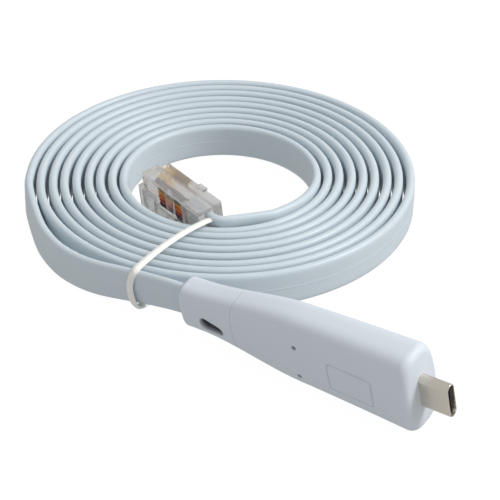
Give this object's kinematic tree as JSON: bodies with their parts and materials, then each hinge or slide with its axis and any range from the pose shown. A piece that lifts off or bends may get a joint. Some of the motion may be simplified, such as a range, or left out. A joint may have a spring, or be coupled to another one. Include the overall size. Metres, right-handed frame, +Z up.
{
  "type": "usb-c to rj45 console cable",
  "caption": "Flat cable wound in an upright-standing coil and held by a band, with a flared flat-sided USB-C plug housing outside the coil and a clear modular plug with a latch inside it.",
  "frame": {"origin": "on the floor, below the middle of the bounding box of the USB-C plug housing with its plug, as it lies on the floor", "axes": "+X from the cable end of the housing to its USB-C plug, level, with the coil on the +Y side; +Z up, the coil's axis being parallel to it"},
  "size_m": [0.1319, 0.0957, 0.0202],
  "materials": {
    "housing": "satin, pale blue-grey",
    "jacket": "satin, pale ice blue flexible jacket",
    "shell": "drawn and plated steel",
    "insert": "black moulded insulator",
    "clear": "clear polycarbonate",
    "gold": "gold plated blades",
    "band": "off-white twist band",
    "wire_1": "dark brown wire insulation",
    "wire_2": "black wire insulation",
    "wire_3": "yellow wire insulation",
    "wire_4": "orange wire insulation",
    "wire_5": "red wire insulation",
    "wire_6": "green wire insulation",
    "wire_7": "blue wire insulation",
    "wire_8": "off-white wire insulation"
  },
  "bodies": {
    "root": {"converter_housing": "housing", "usb_c_shell": "shell", "usb_c_insert": "insert", "modular_plug_body": "clear", "cable_jacket_end": "jacket", "plug_contact_1": "gold", "plug_contact_2": "gold", "plug_contact_3": "gold", "plug_contact_4": "gold", "plug_contact_5": "gold", "plug_contact_6": "gold", "plug_contact_7": "gold", "plug_contact_8": "gold", "plug_wire_1": "wire_1", "plug_wire_2": "wire_2", "plug_wire_3": "wire_3", "plug_wire_4": "wire_4", "plug_wire_5": "wire_5", "plug_wire_6": "wire_6", "plug_wire_7": "wire_7", "plug_wire_8": "wire_8", "cable_coil": "jacket", "cable_tail": "jacket", "cable_lead": "jacket", "tie_band": "band"}
  },
  "joints": []
}
